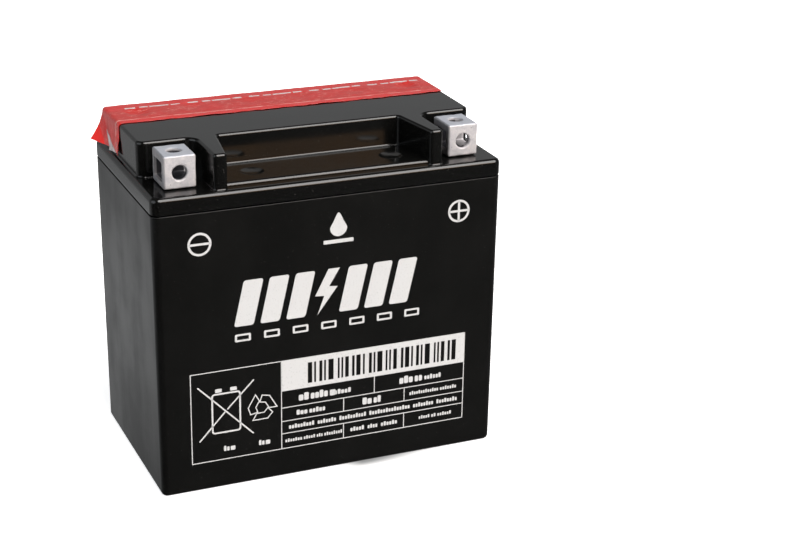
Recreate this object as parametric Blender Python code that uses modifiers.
"""A 12 V maintenance-free motorcycle battery, shipped dry, as an assembly of its real pieces.

The frame: origin at the centre of the container's underside, +X to the right along the
terminal side, +Y from the terminals to the filler side, +Z up. All sizes are in metres.
"""
import math

import bmesh
import bpy
from mathutils import Matrix, Vector

# ---------------------------------------------------------------- driving sizes: the case
LENGTH = 0.150                  # along X, the standard case size
WIDTH = 0.087                   # along Y, the standard case size
CONTAINER_HEIGHT = 0.1220
CORNER_RADIUS = 0.0035          # vertical corners of the container, the lid and the block
BOTTOM_RADIUS = 0.0015
DRAFT = 0.0008                  # how far each side leans in at the bottom, for moulding
SIDE_WALL = 0.0028
FLOOR_THICKNESS = 0.0025
CELLS = 6                       # six 2 V cells make 12 V
PARTITION = 0.0015
GAP = 0.0003                    # hairline between pieces that touch

# ---------------------------------------------------------------- driving sizes: the lid
LID_RIM = 0.0072                # height of the lid's skirt
DECK_THICKNESS = 0.0028
RIM_RADIUS = 0.0010
BLOCK_HEIGHT = 0.0148           # the raised block over the filler ports and the valves
BLOCK_WALL = 0.0025
BLOCK_SIDE_LEDGE = 0.0026
BLOCK_BACK_LEDGE = 0.0059
BLOCK_EDGE = 0.0010
RIB_WIDTH = 0.0055              # the two ribs between the terminals and the pocket
RIB_TIP_RADIUS = 0.0016
RIB_FRONT_INSET = 0.0022
RIB_SPLAY = 0.0040              # the pocket is this much wider at the front, each side
RIB_TO_TERMINAL = 0.0052
BAY_FILLET = 0.0050
POCKET_FLOOR_RISE = 0.0020      # the pocket's floor above the deck
POCKET_LIP = 0.0008

PORT_BORE = 0.0135              # filler ports, one for each cell
PORT_WALL = 0.0016
PORT_TO_BLOCK_BACK = 0.0126
SPIKE_DIAMETER = 0.0034
SPIKE_POINT = 0.0006
SPIKE_DEPTH = 0.0080            # from the block's top down to the spike's point
SPIKE_TIP = 0.0050
SPIKE_WEB = 0.0012

# ---------------------------------------------------------------- driving sizes: the gas path
INNER_PLATE = 0.0020            # the inner cover's plate
VALVE_TO_TUBES = 0.0020         # from the valves' chamber to the filler tubes
TUBE_CLEARANCE = 0.0006         # from the end tubes to the walls round the gallery
STUB_DIAMETER = 0.0060
STUB_BORE = 0.0030
STUB_HEIGHT = 0.0050
VALVE_WALL = 0.0012
ARRESTOR_DIAMETER = 0.0080
ARRESTOR_THICKNESS = 0.0020
ARRESTOR_HEIGHT = 0.0065        # of its centre above the deck
VENT_DIAMETER = 0.0025

# ---------------------------------------------------------------- driving sizes: the terminals
TERMINAL_WIDTH = 0.0133         # along X
TERMINAL_DEPTH = 0.0152         # along Y
TERMINAL_HEIGHT = 0.0135
TERMINAL_INSET = 0.0087         # from the lid's front to the terminal's front face
TERMINAL_TO_BLOCK = 0.0036
TERMINAL_OVER_DECK = 0.0004
TERMINAL_FRONT_WALL = 0.0026
TERMINAL_BACK_WALL = 0.0020
TERMINAL_TOP_WALL = 0.0032
TERMINAL_FOOT = 0.0026
TERMINAL_EDGE = 0.0007
BOLT_HOLE = 0.0062
POST_DIAMETER = 0.0080
POST_CLEARANCE = 0.0005
SEAL_SECTION = 0.0027           # the rubber ring round the post
SEAL_FLOOR = 0.0030             # deck left above the sealing well
WELL_WALL = 0.0018
RESIN_THICKNESS = 0.0031

# ---------------------------------------------------------------- driving sizes: the cells
POSITIVE_PLATE = 0.0017
NEGATIVE_PLATE = 0.0013
SEPARATOR = 0.0005              # absorbent glass mat
PLATE_END_CLEARANCE = 0.0017    # from the plates' edges to the front and back walls
SEPARATOR_OVERHANG = 0.0010     # how far the mat reaches past the plates, front and back
SEPARATOR_RISE = 0.0030         # and above them
FLOOR_CLEARANCE = 0.0004
STRAP_HEADROOM = 0.0120         # from the container's rim down to the strap's top
STRAP_THICKNESS = 0.0060
STRAP_DEPTH = 0.0120
STRAP_WALL_GAP = 0.0008
PLATE_TO_STRAP = 0.0060
LUG_DEPTH = 0.0090
TOMBSTONE = 0.0022              # the strap's upright ear against a partition
TOMBSTONE_RISE = 0.0060         # above the strap
WELD_DIAMETER = 0.0054

# ---------------------------------------------------------------- driving sizes: the foil
FOIL_THICKNESS = 0.0004
FOIL_EDGE_INSET = 0.0005        # from the block's right and back edges
FOIL_FRONT_MARGIN = 0.0072      # foil past the front of the ports
TAB_DROP_GAP = 0.0016           # from the deck up to the lower edge of the pull tab
TAB_FLARE = 0.0066              # how far the tab's back corner stands off the block
TAB_CURL = 1.3                  # 1 is a straight slope, more is a later curl

# ---------------------------------------------------------------- worked out from the sizes
HALF_LENGTH = LENGTH / 2
HALF_WIDTH = WIDTH / 2
CELL_LENGTH = (LENGTH - 2 * SIDE_WALL - (CELLS - 1) * PARTITION) / CELLS
CELL_DEPTH = WIDTH - 2 * SIDE_WALL
CELL_PITCH = CELL_LENGTH + PARTITION
CELL_X = [(cell - (CELLS - 1) / 2) * CELL_PITCH for cell in range(CELLS)]
PARTITION_X = [(cell - (CELLS - 2) / 2) * CELL_PITCH for cell in range(CELLS - 1)]

LID_BOTTOM = CONTAINER_HEIGHT + GAP
DECK = LID_BOTTOM + LID_RIM
DECK_UNDERSIDE = DECK - DECK_THICKNESS
BLOCK_TOP = DECK + BLOCK_HEIGHT
BLOCK_CEILING = BLOCK_TOP - BLOCK_WALL
BLOCK_HALF = HALF_LENGTH - BLOCK_SIDE_LEDGE
BLOCK_BACK = HALF_WIDTH - BLOCK_BACK_LEDGE

TERMINAL_X = CELL_X[-1]
TERMINAL_FRONT = -HALF_WIDTH + TERMINAL_INSET
TERMINAL_BACK = TERMINAL_FRONT + TERMINAL_DEPTH
TERMINAL_Y = (TERMINAL_FRONT + TERMINAL_BACK) / 2
TERMINAL_BOTTOM = DECK + TERMINAL_OVER_DECK
TERMINAL_TOP = TERMINAL_BOTTOM + TERMINAL_HEIGHT
BLOCK_FRONT = TERMINAL_BACK + TERMINAL_TO_BLOCK
RIB_OUTER = TERMINAL_X - TERMINAL_WIDTH / 2 - RIB_TO_TERMINAL
RIB_FRONT = -HALF_WIDTH + RIB_FRONT_INSET
POCKET_HALF_FRONT = RIB_OUTER - RIB_WIDTH
POCKET_HALF_BACK = POCKET_HALF_FRONT - RIB_SPLAY
POCKET_FLOOR = DECK + POCKET_FLOOR_RISE

PORT_Y = BLOCK_BACK - PORT_TO_BLOCK_BACK
PORT_RADIUS = PORT_BORE / 2
TUBE_RADIUS = PORT_RADIUS + PORT_WALL

CHAMBER_HALF = BLOCK_HALF - ARRESTOR_THICKNESS - BLOCK_WALL
CHAMBER_FRONT = BLOCK_FRONT + BLOCK_WALL
CHAMBER_BACK = PORT_Y - TUBE_RADIUS - VALVE_TO_TUBES
CHAMBER_Y = (CHAMBER_FRONT + CHAMBER_BACK) / 2
GALLERY_HALF = CELL_X[-1] + TUBE_RADIUS + TUBE_CLEARANCE
GALLERY_BACK = PORT_Y + TUBE_RADIUS + TUBE_CLEARANCE
INNER_BOTTOM = DECK_UNDERSIDE + GAP
INNER_TOP = INNER_BOTTOM + INNER_PLATE
TUBE_BOTTOM = INNER_TOP + GAP
TUBE_TOP = BLOCK_CEILING - GAP
SPIKE_TOP = BLOCK_TOP - SPIKE_DEPTH
SPIKE_SHOULDER = SPIKE_TOP - SPIKE_TIP
ARRESTOR_Z = DECK + ARRESTOR_HEIGHT

POST_RADIUS = POST_DIAMETER / 2
SEAL_RADIUS = POST_RADIUS + GAP + SEAL_SECTION / 2
WELL_RADIUS = SEAL_RADIUS + SEAL_SECTION / 2 + GAP
WELL_CEILING = DECK - SEAL_FLOOR
SEAL_Z = WELL_CEILING - GAP - SEAL_SECTION / 2
RESIN_TOP = SEAL_Z - SEAL_SECTION / 2 - GAP
WELL_BOTTOM = RESIN_TOP - RESIN_THICKNESS

STRAP_TOP = CONTAINER_HEIGHT - STRAP_HEADROOM
STRAP_BOTTOM = STRAP_TOP - STRAP_THICKNESS
PLATE_TOP = STRAP_BOTTOM - PLATE_TO_STRAP
PLATE_HALF_DEPTH = CELL_DEPTH / 2 - PLATE_END_CLEARANCE
PLATE_PAIR = NEGATIVE_PLATE + POSITIVE_PLATE + 2 * SEPARATOR + 4 * GAP
PLATE_PAIRS = int((CELL_LENGTH - NEGATIVE_PLATE - 2 * GAP) / PLATE_PAIR)
MAT_BOTTOM = FLOOR_THICKNESS + FLOOR_CLEARANCE
PLATE_BOTTOM = MAT_BOTTOM + SEPARATOR + GAP
STRAP_FRONT_Y = TERMINAL_Y
STRAP_BACK_Y = PORT_Y - LUG_DEPTH / 2
WELD_Z = STRAP_TOP + TOMBSTONE_RISE / 2

FOIL_BOTTOM = BLOCK_TOP + GAP
FOIL_FRONT = PORT_Y - PORT_RADIUS - FOIL_FRONT_MARGIN
FOIL_BACK = BLOCK_BACK - FOIL_EDGE_INSET

ARC_STEPS = 5                   # edges in a quarter of a rounded corner
EPSILON = 0.0005                # how far one shape laps into another that it cuts or joins


# ---------------------------------------------------------------- the scene and its helpers
for old in list(bpy.data.objects):
    bpy.data.objects.remove(old, do_unlink=True)


def new_collection(name):
    """A collection of the scene, empty at the start."""
    collection = bpy.data.collections.new(name)
    bpy.context.scene.collection.children.link(collection)
    return collection


PIECES = new_collection("motorcycle_battery")
CUTTERS = new_collection("cutters")


def material(name, colour, roughness, metallic=0.0):
    """A plain Principled material."""
    made = bpy.data.materials.new(name)
    made.use_nodes = True
    shader = made.node_tree.nodes["Principled BSDF"]
    shader.inputs["Base Color"].default_value = (*colour, 1.0)
    shader.inputs["Roughness"].default_value = roughness
    shader.inputs["Metallic"].default_value = metallic
    return made


CASE_BLACK = material("case_black", (0.020, 0.020, 0.019), 0.32)
LID_BLACK = material("lid_black", (0.022, 0.022, 0.021), 0.22)
CAST_LEAD = material("cast_lead", (0.62, 0.60, 0.61), 0.45, 0.8)
FOIL_RED = material("foil_red", (0.62, 0.03, 0.03), 0.35)
SEAL_RUBBER = material("seal_rubber", (0.03, 0.03, 0.03), 0.75)
RESIN_RED = material("resin_red", (0.45, 0.05, 0.04), 0.3)
RESIN_BLACK = material("resin_black", (0.03, 0.03, 0.04), 0.3)
PASTE_BROWN = material("positive_paste", (0.13, 0.06, 0.035), 0.85)
PASTE_GREY = material("negative_paste", (0.22, 0.23, 0.24), 0.8)
GLASS_MAT = material("glass_mat", (0.80, 0.80, 0.76), 0.95)
POROUS_DISC = material("porous_disc", (0.75, 0.73, 0.68), 0.9)


def shaped_mesh(name, mesh_maker):
    """The mesh that mesh_maker(bm) builds, its faces pointing out."""
    bm = bmesh.new()
    mesh_maker(bm)
    bmesh.ops.recalc_face_normals(bm, faces=bm.faces)
    mesh = bpy.data.meshes.new(name)
    bm.to_mesh(mesh)
    bm.free()
    return mesh


def place(name, mesh, location=(0, 0, 0), collection=PIECES):
    """An object of a mesh, at its place."""
    made = bpy.data.objects.new(name, mesh)
    made.location = location
    collection.objects.link(made)
    return made


def piece(name, mesh_maker, look, location=(0, 0, 0)):
    """One piece of the battery: a named object with one material."""
    mesh = shaped_mesh(name, mesh_maker)
    mesh.materials.append(look)
    return place(name, mesh, location)


def boolean(target, name, mesh_maker, operation):
    """An exact Boolean of the target with a shape kept among the cutters."""
    shape = place(name, shaped_mesh(name, mesh_maker), collection=CUTTERS)
    shape.hide_render = True
    shape.display_type = "WIRE"
    step = target.modifiers.new(name, "BOOLEAN")
    step.operation = operation
    step.solver = "EXACT"
    step.object = shape


def cut(target, name, mesh_maker):
    """Take a shape away from the target."""
    boolean(target, name, mesh_maker, "DIFFERENCE")


def join(target, name, mesh_maker):
    """Make a shape one body with the target."""
    boolean(target, name, mesh_maker, "UNION")


def box(bm, low, high):
    """A box between its lowest and its highest corner."""
    low = Vector(low)
    high = Vector(high)
    scale = Matrix.Diagonal((*(high - low), 1.0))
    bmesh.ops.create_cube(bm, size=1.0, matrix=Matrix.Translation((low + high) / 2) @ scale)


def cylinder(bm, centre, diameter, length, axis="Z", segments=24):
    """A cylinder centred on a point."""
    turn = {"X": Matrix.Rotation(math.pi / 2, 4, "Y"),
            "Y": Matrix.Rotation(math.pi / 2, 4, "X"),
            "Z": Matrix.Identity(4)}[axis]
    bmesh.ops.create_cone(bm, cap_ends=True, segments=segments, radius1=diameter / 2,
                          radius2=diameter / 2, depth=length,
                          matrix=Matrix.Translation(centre) @ turn)


def turned(bm, profile, centre, segments, closed):
    """A profile of (radius, height) points, turned about a vertical line through centre."""
    x, y, z = centre
    verts = [bm.verts.new((x + radius, y, z + height)) for radius, height in profile]
    pairs = list(zip(verts, verts[1:])) + ([(verts[-1], verts[0])] if closed else [])
    edges = [bm.edges.new(pair) for pair in pairs]
    bmesh.ops.spin(bm, geom=verts + edges, cent=centre, axis=(0, 0, 1),
                   angle=2 * math.pi, steps=segments, use_duplicate=False)
    bmesh.ops.remove_doubles(bm, verts=bm.verts, dist=1e-6)


def prism(bm, outline, low, high, axis="Z"):
    """A flat outline of two coordinates, extruded along the third from low to high."""
    lift = {"X": lambda a, b: (low, a, b), "Y": lambda a, b: (a, low, b),
            "Z": lambda a, b: (a, b, low)}[axis]
    push = {"X": (high - low, 0, 0), "Y": (0, high - low, 0), "Z": (0, 0, high - low)}[axis]
    face = bm.faces.new([bm.verts.new(lift(a, b)) for a, b in outline])
    grown = bmesh.ops.extrude_face_region(bm, geom=[face])["geom"]
    risen = [part for part in grown if isinstance(part, bmesh.types.BMVert)]
    bmesh.ops.translate(bm, verts=risen, vec=push)
    bmesh.ops.recalc_face_normals(bm, faces=bm.faces)


def rounded_outline(corners):
    """The points of an outline whose corners (x, y, radius) are turned into arcs.

    Each arc starts and ends where a circle of that radius touches the corner's two sides;
    a quarter turn takes ARC_STEPS edges.
    """
    points = []
    for index, (x, y, radius) in enumerate(corners):
        here = Vector((x, y))
        back = (Vector(corners[index - 1][:2]) - here).normalized()
        ahead = (Vector(corners[(index + 1) % len(corners)][:2]) - here).normalized()
        half = back.angle(ahead) / 2
        centre = here + (back + ahead).normalized() * (radius / math.sin(half))
        start = here + back * (radius / math.tan(half)) - centre
        end = here + ahead * (radius / math.tan(half)) - centre
        sweep = start.angle_signed(end) * -1
        steps = max(2, round(ARC_STEPS * abs(sweep) / (math.pi / 2)))
        points += [centre + Matrix.Rotation(sweep * step / steps, 2) @ start
                   for step in range(steps + 1)]
    return points


def case_outline():
    """The plan of the container and of the lid's rim."""
    return rounded_outline([(-HALF_LENGTH, -HALF_WIDTH, CORNER_RADIUS),
                            (HALF_LENGTH, -HALF_WIDTH, CORNER_RADIUS),
                            (HALF_LENGTH, HALF_WIDTH, CORNER_RADIUS),
                            (-HALF_LENGTH, HALF_WIDTH, CORNER_RADIUS)])


def round_level(bm, height, radius):
    """Round the horizontal edges that run round a prism at one height."""
    level = [edge for edge in bm.edges
             if all(abs(vertex.co.z - height) < 1e-6 for vertex in edge.verts)]
    bmesh.ops.bevel(bm, geom=level, offset=radius, segments=2, profile=0.5, affect="EDGES")


# ---------------------------------------------------------------- container
def container_body(bm):
    """The outside of the container: a rounded prism that leans in towards its bottom."""
    prism(bm, case_outline(), 0.0, CONTAINER_HEIGHT)
    round_level(bm, 0.0, BOTTOM_RADIUS)
    for vertex in bm.verts:
        lean = DRAFT * (1 - vertex.co.z / CONTAINER_HEIGHT)
        vertex.co.x *= 1 - lean / HALF_LENGTH
        vertex.co.y *= 1 - lean / HALF_WIDTH


def cell_spaces(bm, low_z, high_z, front, back):
    """One box for each cell, between the partitions."""
    for x in CELL_X:
        box(bm, (x - CELL_LENGTH / 2, front, low_z), (x + CELL_LENGTH / 2, back, high_z))


def weld_y(partition):
    """The welds alternate between the back and the front row of straps."""
    return STRAP_BACK_Y if partition % 2 == 0 else STRAP_FRONT_Y


def weld_windows(bm):
    """A round window through each partition for the weld between two cells."""
    for index, x in enumerate(PARTITION_X):
        cylinder(bm, (x, weld_y(index), WELD_Z), WELD_DIAMETER + 2 * GAP,
                 PARTITION + 2 * EPSILON, "X", 16)


container = piece("container", container_body, CASE_BLACK)
cut(container, "container_cells", lambda bm: cell_spaces(
    bm, FLOOR_THICKNESS, CONTAINER_HEIGHT + EPSILON, -CELL_DEPTH / 2, CELL_DEPTH / 2))
cut(container, "container_weld_windows", weld_windows)

weld_mesh = shaped_mesh("intercell_weld", lambda bm: cylinder(
    bm, (0, 0, 0), WELD_DIAMETER, PARTITION, "X", 16))
weld_mesh.materials.append(CAST_LEAD)
for partition, partition_x in enumerate(PARTITION_X):
    place(f"intercell_weld_{partition + 1}", weld_mesh, (partition_x, weld_y(partition), WELD_Z))


# ---------------------------------------------------------------- lid
def lid_rim(bm):
    """The lid's flat slab, as wide as the container, with a rounded upper edge."""
    prism(bm, case_outline(), LID_BOTTOM, DECK)
    round_level(bm, DECK, RIM_RADIUS)


def lid_block(bm):
    """The raised block and the two ribs that run forward from it, as one outline."""
    right = [(POCKET_HALF_BACK, BLOCK_FRONT, RIB_TIP_RADIUS),
             (POCKET_HALF_FRONT, RIB_FRONT, RIB_TIP_RADIUS),
             (RIB_OUTER, RIB_FRONT, RIB_TIP_RADIUS),
             (RIB_OUTER, BLOCK_FRONT, BAY_FILLET),
             (BLOCK_HALF, BLOCK_FRONT, CORNER_RADIUS),
             (BLOCK_HALF, BLOCK_BACK, CORNER_RADIUS)]
    left = [(-x, y, radius) for x, y, radius in reversed(right)]
    prism(bm, rounded_outline(right + left), DECK - EPSILON, BLOCK_TOP)
    round_level(bm, BLOCK_TOP, BLOCK_EDGE)


def pocket_floor(bm):
    """The low step between the ribs, with a rounded front lip."""
    lap = RIB_WIDTH / 2
    front = RIB_FRONT + RIB_TIP_RADIUS
    outline = [(-POCKET_HALF_FRONT - lap, front), (POCKET_HALF_FRONT + lap, front),
               (POCKET_HALF_BACK + lap, BLOCK_FRONT + lap),
               (-POCKET_HALF_BACK - lap, BLOCK_FRONT + lap)]
    prism(bm, outline, DECK - EPSILON, POCKET_FLOOR)
    lip = [edge for edge in bm.edges if all(
        abs(v.co.z - POCKET_FLOOR) < 1e-6 and abs(v.co.y - front) < 1e-6 for v in edge.verts)]
    bmesh.ops.bevel(bm, geom=lip, offset=POCKET_LIP, segments=2, profile=0.5, affect="EDGES")


def valve_chamber(bm, low, high, inset):
    """The space for the valves. It stops short of the block's ends, for the arrestor's seat."""
    box(bm, (-CHAMBER_HALF + inset, CHAMBER_FRONT + inset, low),
        (CHAMBER_HALF - inset, CHAMBER_BACK + EPSILON, high))


def port_gallery(bm, low, high, inset):
    """The space that the row of filler tubes stands in."""
    box(bm, (-GALLERY_HALF + inset, CHAMBER_BACK + inset, low),
        (GALLERY_HALF - inset, GALLERY_BACK - inset, high))


def arrestor_seat(bm):
    """The round seat of the flame arrestor, in the chamber's right end."""
    depth = ARRESTOR_THICKNESS + GAP
    cylinder(bm, (CHAMBER_HALF + (depth - EPSILON) / 2, CHAMBER_Y, ARRESTOR_Z),
             ARRESTOR_DIAMETER + 2 * GAP, depth + EPSILON, "X", 20)


def vent_hole(bm):
    """The small hole from the arrestor's seat to the open air."""
    length = BLOCK_HALF - CHAMBER_HALF
    cylinder(bm, (CHAMBER_HALF + length / 2 + EPSILON, CHAMBER_Y, ARRESTOR_Z),
             VENT_DIAMETER, length, "X", 12)


def at_the_ports(bm, diameter, low, high):
    """A vertical cylinder at each filler port."""
    for x in CELL_X:
        cylinder(bm, (x, PORT_Y, (low + high) / 2), diameter, high - low)


def at_both_terminals(bm, diameter, low, high, segments):
    """A vertical cylinder under each terminal."""
    for x in (-TERMINAL_X, TERMINAL_X):
        cylinder(bm, (x, TERMINAL_Y, (low + high) / 2), diameter, high - low, "Z", segments)


lid = piece("lid", lid_rim, LID_BLACK)
join(lid, "lid_block", lid_block)
join(lid, "lid_pocket_floor", pocket_floor)
cut(lid, "lid_cell_spaces", lambda bm: cell_spaces(
    bm, LID_BOTTOM - EPSILON, DECK_UNDERSIDE, -CELL_DEPTH / 2, CELL_DEPTH / 2))
cut(lid, "lid_valve_chamber", lambda bm: valve_chamber(
    bm, LID_BOTTOM - 2 * EPSILON, BLOCK_CEILING, 0))
cut(lid, "lid_port_gallery", lambda bm: port_gallery(
    bm, LID_BOTTOM - 2 * EPSILON, BLOCK_CEILING, 0))
cut(lid, "lid_filler_holes", lambda bm: at_the_ports(
    bm, PORT_BORE, BLOCK_CEILING - EPSILON, BLOCK_TOP + EPSILON))
cut(lid, "lid_arrestor_seat", arrestor_seat)
cut(lid, "lid_vent_hole", vent_hole)
join(lid, "lid_terminal_bosses", lambda bm: at_both_terminals(
    bm, 2 * (WELL_RADIUS + WELL_WALL), WELL_BOTTOM, DECK_UNDERSIDE + EPSILON, 24))
cut(lid, "lid_terminal_wells", lambda bm: at_both_terminals(
    bm, 2 * WELL_RADIUS, WELL_BOTTOM - EPSILON, WELL_CEILING, 24))
cut(lid, "lid_post_holes", lambda bm: at_both_terminals(
    bm, POST_DIAMETER + 2 * POST_CLEARANCE, WELL_CEILING - EPSILON, DECK + EPSILON, 20))


# ---------------------------------------------------------------- inner cover and gas path
def inner_ribs(bm):
    """The ribs under the inner plate that carry the cell partitions on below it."""
    for x in PARTITION_X:
        box(bm, (x - PARTITION / 2, CHAMBER_FRONT + GAP, LID_BOTTOM),
            (x + PARTITION / 2, GALLERY_BACK - GAP, INNER_BOTTOM + EPSILON))


def valve_stubs(bm, diameter, low, high, segments):
    """A vertical cylinder for each cell's valve."""
    for x in CELL_X:
        cylinder(bm, (x, CHAMBER_Y, (low + high) / 2), diameter, high - low, "Z", segments)


def relief_valve_cap(bm):
    """A rubber cup turned upside down, which grips its stub and lifts under pressure."""
    inner = STUB_DIAMETER / 2 + GAP
    outer = inner + VALVE_WALL
    profile = [(0, STUB_HEIGHT), (inner, STUB_HEIGHT), (inner, 0), (outer, 0),
               (outer, STUB_HEIGHT + VALVE_WALL), (0, STUB_HEIGHT + VALVE_WALL)]
    turned(bm, profile, (0, 0, 0), 20, closed=False)


def tube_cylinder(bm, x, diameter, low, high):
    """A vertical cylinder on one filler tube's axis."""
    cylinder(bm, (x, PORT_Y, (low + high) / 2), diameter, high - low)


def tube_web(bm, x):
    """The thin web across a filler tube's foot, which carries the spike."""
    reach = PORT_RADIUS + PORT_WALL / 2
    box(bm, (x - reach, PORT_Y - SPIKE_WEB / 2, TUBE_BOTTOM),
        (x + reach, PORT_Y + SPIKE_WEB / 2, SPIKE_SHOULDER))


def tube_spike(bm, x):
    """The pointed spike that opens the seal of the acid container's neck."""
    foot = (TUBE_BOTTOM + SPIKE_SHOULDER) / 2
    profile = [(0, foot), (SPIKE_DIAMETER / 2, foot), (SPIKE_DIAMETER / 2, SPIKE_SHOULDER),
               (SPIKE_POINT / 2, SPIKE_TOP), (0, SPIKE_TOP)]
    turned(bm, profile, (x, PORT_Y, 0), 12, closed=False)


inner_cover = piece("inner_cover", lambda bm: valve_chamber(
    bm, INNER_BOTTOM, INNER_TOP, GAP), LID_BLACK)
join(inner_cover, "inner_gallery_plate", lambda bm: port_gallery(
    bm, INNER_BOTTOM, INNER_TOP, GAP))
cut(inner_cover, "inner_filler_holes", lambda bm: at_the_ports(
    bm, PORT_BORE, INNER_BOTTOM - EPSILON, INNER_TOP + EPSILON))
join(inner_cover, "inner_ribs", inner_ribs)
join(inner_cover, "inner_stubs", lambda bm: valve_stubs(
    bm, STUB_DIAMETER, INNER_TOP - EPSILON, INNER_TOP + STUB_HEIGHT, 20))
cut(inner_cover, "inner_stub_bores", lambda bm: valve_stubs(
    bm, STUB_BORE, INNER_BOTTOM - EPSILON, INNER_TOP + STUB_HEIGHT + EPSILON, 12))

for number, cell_x in enumerate(CELL_X, start=1):
    tube = piece(f"filler_tube_{number}", lambda bm: tube_cylinder(
        bm, cell_x, 2 * TUBE_RADIUS, TUBE_BOTTOM, TUBE_TOP), LID_BLACK)
    cut(tube, f"tube_bore_{number}", lambda bm: tube_cylinder(
        bm, cell_x, PORT_BORE, TUBE_BOTTOM - EPSILON, TUBE_TOP + EPSILON))
    join(tube, f"tube_web_{number}", lambda bm: tube_web(bm, cell_x))
    join(tube, f"tube_spike_{number}", lambda bm: tube_spike(bm, cell_x))

valve_mesh = shaped_mesh("relief_valve", relief_valve_cap)
valve_mesh.materials.append(SEAL_RUBBER)
for number, cell_x in enumerate(CELL_X, start=1):
    place(f"relief_valve_{number}", valve_mesh, (cell_x, CHAMBER_Y, INNER_TOP + GAP))

piece("flame_arrestor", lambda bm: cylinder(
    bm, (0, 0, 0), ARRESTOR_DIAMETER, ARRESTOR_THICKNESS, "X", 20), POROUS_DISC,
    (CHAMBER_HALF + ARRESTOR_THICKNESS / 2, CHAMBER_Y, ARRESTOR_Z))


# ---------------------------------------------------------------- terminals and their seals
def terminal_block(bm):
    """The cast block of a terminal, its edges rounded; its foot stands at height 0."""
    half_x = TERMINAL_WIDTH / 2
    half_y = TERMINAL_DEPTH / 2
    box(bm, (-half_x, -half_y, 0), (half_x, half_y, TERMINAL_HEIGHT))
    bmesh.ops.bevel(bm, geom=bm.edges, offset=TERMINAL_EDGE, segments=2, profile=0.5,
                    affect="EDGES")


def terminal_post(bm, x):
    """The round post from a terminal down to its plate strap."""
    low = STRAP_TOP + GAP
    high = TERMINAL_BOTTOM + TERMINAL_FOOT / 2
    cylinder(bm, (x, TERMINAL_Y, (low + high) / 2), POST_DIAMETER, high - low)


def nut_window(bm, x):
    """The square window from side to side that takes the nut."""
    half_x = TERMINAL_WIDTH / 2 + EPSILON
    box(bm, (x - half_x, TERMINAL_FRONT + TERMINAL_FRONT_WALL, TERMINAL_BOTTOM + TERMINAL_FOOT),
        (x + half_x, TERMINAL_BACK - TERMINAL_BACK_WALL, TERMINAL_TOP - TERMINAL_TOP_WALL))


def bolt_holes(bm, x):
    """The bolt's hole in the front wall and the one in the top wall."""
    window_low = TERMINAL_BOTTOM + TERMINAL_FOOT
    window_high = TERMINAL_TOP - TERMINAL_TOP_WALL
    cylinder(bm, (x, TERMINAL_FRONT + TERMINAL_FRONT_WALL / 2, (window_low + window_high) / 2),
             BOLT_HOLE, TERMINAL_FRONT_WALL + 2 * EPSILON, "Y", 20)
    window_y = (TERMINAL_FRONT + TERMINAL_FRONT_WALL + TERMINAL_BACK - TERMINAL_BACK_WALL) / 2
    cylinder(bm, (x, window_y, TERMINAL_TOP - TERMINAL_TOP_WALL / 2),
             BOLT_HOLE, TERMINAL_TOP_WALL + 2 * EPSILON, "Z", 20)


def seal_ring(bm):
    """A rubber ring of round section."""
    sides = 8
    profile = [(SEAL_RADIUS + SEAL_SECTION / 2 * math.cos(2 * math.pi * side / sides),
                SEAL_SECTION / 2 * math.sin(2 * math.pi * side / sides))
               for side in range(sides)]
    turned(bm, profile, (0, 0, 0), 20, closed=True)


def resin_ring(bm):
    """The resin poured round the post, below the rubber ring."""
    inner = POST_RADIUS + GAP
    outer = WELL_RADIUS - GAP
    turned(bm, [(inner, 0), (outer, 0), (outer, RESIN_THICKNESS), (inner, RESIN_THICKNESS)],
           (0, 0, 0), 20, closed=True)


for pole, pole_x, resin in (("negative", -TERMINAL_X, RESIN_BLACK),
                            ("positive", TERMINAL_X, RESIN_RED)):
    terminal = piece(f"{pole}_terminal", terminal_block, CAST_LEAD,
                     (pole_x, TERMINAL_Y, TERMINAL_BOTTOM))
    join(terminal, f"{pole}_post", lambda bm: terminal_post(bm, pole_x))
    cut(terminal, f"{pole}_nut_window", lambda bm: nut_window(bm, pole_x))
    cut(terminal, f"{pole}_bolt_holes", lambda bm: bolt_holes(bm, pole_x))
    piece(f"{pole}_seal_ring", seal_ring, SEAL_RUBBER, (pole_x, TERMINAL_Y, SEAL_Z))
    piece(f"{pole}_resin_seal", resin_ring, resin, (pole_x, TERMINAL_Y, WELL_BOTTOM))


# ---------------------------------------------------------------- the cells' plates and mats
def negative_x(cell, number):
    """The left face of a cell's negative plate; the stack is centred in its cell."""
    stack = PLATE_PAIRS * PLATE_PAIR + NEGATIVE_PLATE
    return CELL_X[cell] - stack / 2 + number * PLATE_PAIR


def positive_x(cell, number):
    """The left face of a cell's positive plate."""
    return negative_x(cell, number) + NEGATIVE_PLATE + SEPARATOR + 2 * GAP


def plates(bm, left_faces, thickness, strap_y):
    """Plates side by side, each with the lug that rises into the strap."""
    outline = [(-PLATE_HALF_DEPTH, PLATE_BOTTOM), (PLATE_HALF_DEPTH, PLATE_BOTTOM),
               (PLATE_HALF_DEPTH, PLATE_TOP), (strap_y + LUG_DEPTH / 2, PLATE_TOP),
               (strap_y + LUG_DEPTH / 2, STRAP_BOTTOM + EPSILON),
               (strap_y - LUG_DEPTH / 2, STRAP_BOTTOM + EPSILON),
               (strap_y - LUG_DEPTH / 2, PLATE_TOP), (-PLATE_HALF_DEPTH, PLATE_TOP)]
    for left in left_faces:
        prism(bm, outline, left, left + thickness, "X")


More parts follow.
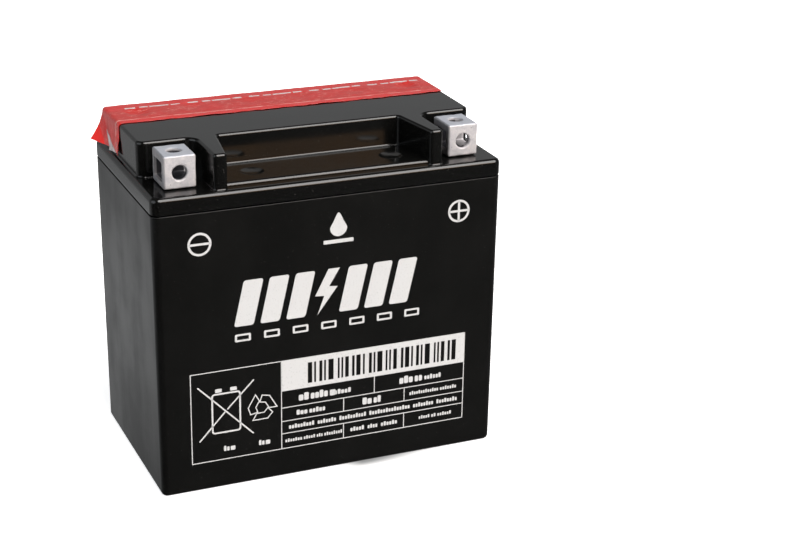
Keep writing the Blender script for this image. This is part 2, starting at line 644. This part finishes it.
def strap(bm, cell, strap_y, towards):
    """The cast strap over one cell's plates of one kind.

    towards is the side of the partition that it is welded through: -1 left, 1 right, or
    0 where a terminal's post stands on the strap. There its upright ear is left out.
    """
    x = CELL_X[cell]
    plain = CELL_LENGTH / 2 - STRAP_WALL_GAP
    if towards == 0:
        outline = [(x - plain, STRAP_BOTTOM), (x + plain, STRAP_BOTTOM),
                   (x + plain, STRAP_TOP), (x - plain, STRAP_TOP)]
    else:
        near = x + towards * (CELL_LENGTH / 2 - GAP)
        inner = near - towards * TOMBSTONE
        far = x - towards * plain
        outline = [(far, STRAP_BOTTOM), (near, STRAP_BOTTOM),
                   (near, STRAP_TOP + TOMBSTONE_RISE), (inner, STRAP_TOP + TOMBSTONE_RISE),
                   (inner, STRAP_TOP), (far, STRAP_TOP)]
    prism(bm, outline, strap_y - STRAP_DEPTH / 2, strap_y + STRAP_DEPTH / 2, "Y")


def mats(bm, cell):
    """A cell's glass mat: one layer under all its plates, and a sheet on each side of each.

    Its outline is a comb, walked from the left end of the bottom layer.
    """
    floor = MAT_BOTTOM + SEPARATOR
    top = PLATE_TOP + SEPARATOR_RISE
    teeth = []
    for number in range(PLATE_PAIRS):
        teeth += [positive_x(cell, number) - GAP - SEPARATOR,
                  positive_x(cell, number) + POSITIVE_PLATE + GAP]
    outline = [(teeth[-1] + SEPARATOR, MAT_BOTTOM), (teeth[0], MAT_BOTTOM)]
    for left in teeth:
        outline += [(left, floor), (left, top), (left + SEPARATOR, top), (left + SEPARATOR, floor)]
    del outline[2], outline[-1]
    half_depth = PLATE_HALF_DEPTH + SEPARATOR_OVERHANG
    prism(bm, outline, -half_depth, half_depth, "Y")


for cell in range(CELLS):
    negative_y, positive_y = ((STRAP_FRONT_Y, STRAP_BACK_Y) if cell % 2 == 0
                              else (STRAP_BACK_Y, STRAP_FRONT_Y))
    negative_side = 0 if cell == 0 else -1
    positive_side = 0 if cell == CELLS - 1 else 1
    negative_faces = [negative_x(cell, number) for number in range(PLATE_PAIRS + 1)]
    positive_faces = [positive_x(cell, number) for number in range(PLATE_PAIRS)]
    negative = piece(f"negative_plates_{cell + 1}", lambda bm: plates(
        bm, negative_faces, NEGATIVE_PLATE, negative_y), PASTE_GREY)
    join(negative, f"negative_strap_{cell + 1}",
         lambda bm: strap(bm, cell, negative_y, negative_side))
    positive = piece(f"positive_plates_{cell + 1}", lambda bm: plates(
        bm, positive_faces, POSITIVE_PLATE, positive_y), PASTE_BROWN)
    join(positive, f"positive_strap_{cell + 1}",
         lambda bm: strap(bm, cell, positive_y, positive_side))
    piece(f"separators_{cell + 1}", lambda bm: mats(bm, cell), GLASS_MAT)


# ---------------------------------------------------------------- foil seal with its pull tab
def foil_path():
    """The foil's line seen from the front, as (x, z, share of the way down the tab).

    It runs from the right end over the block's top, round the left edge and down.
    """
    radius = BLOCK_EDGE + GAP
    centre_x = -BLOCK_HALF + BLOCK_EDGE
    centre_z = BLOCK_TOP - BLOCK_EDGE
    path = [(BLOCK_HALF - FOIL_EDGE_INSET, FOIL_BOTTOM, 0.0)]
    for step in range(4):
        angle = math.pi / 2 * (1 + step / 3)
        path.append((centre_x + radius * math.cos(angle), centre_z + radius * math.sin(angle), 0.0))
    low = DECK + TAB_DROP_GAP
    for step in range(1, 6):
        share = step / 5
        path.append((centre_x - radius, centre_z + (low - centre_z) * share, share))
    return path


def foil_sheet(bm):
    """A grid laid along the foil's path; towards the back the tab curls off the block."""
    path = foil_path()
    rows = 4
    bmesh.ops.create_grid(bm, x_segments=len(path) - 1, y_segments=rows, size=0.5)
    for vertex in bm.verts:
        x, z, share = path[round((vertex.co.x + 0.5) * (len(path) - 1))]
        across = vertex.co.y + 0.5
        flare = TAB_FLARE * across * share ** TAB_CURL
        vertex.co = (x - flare, FOIL_FRONT + (FOIL_BACK - FOIL_FRONT) * across, z - FOIL_BOTTOM)


foil = piece("foil_seal", foil_sheet, FOIL_RED, (0, 0, FOIL_BOTTOM))
thicken = foil.modifiers.new("foil_thickness", "SOLIDIFY")
thicken.thickness = FOIL_THICKNESS
thicken.offset = -1.0              # outwards: the sheet faces the block
thicken.use_even_offset = True
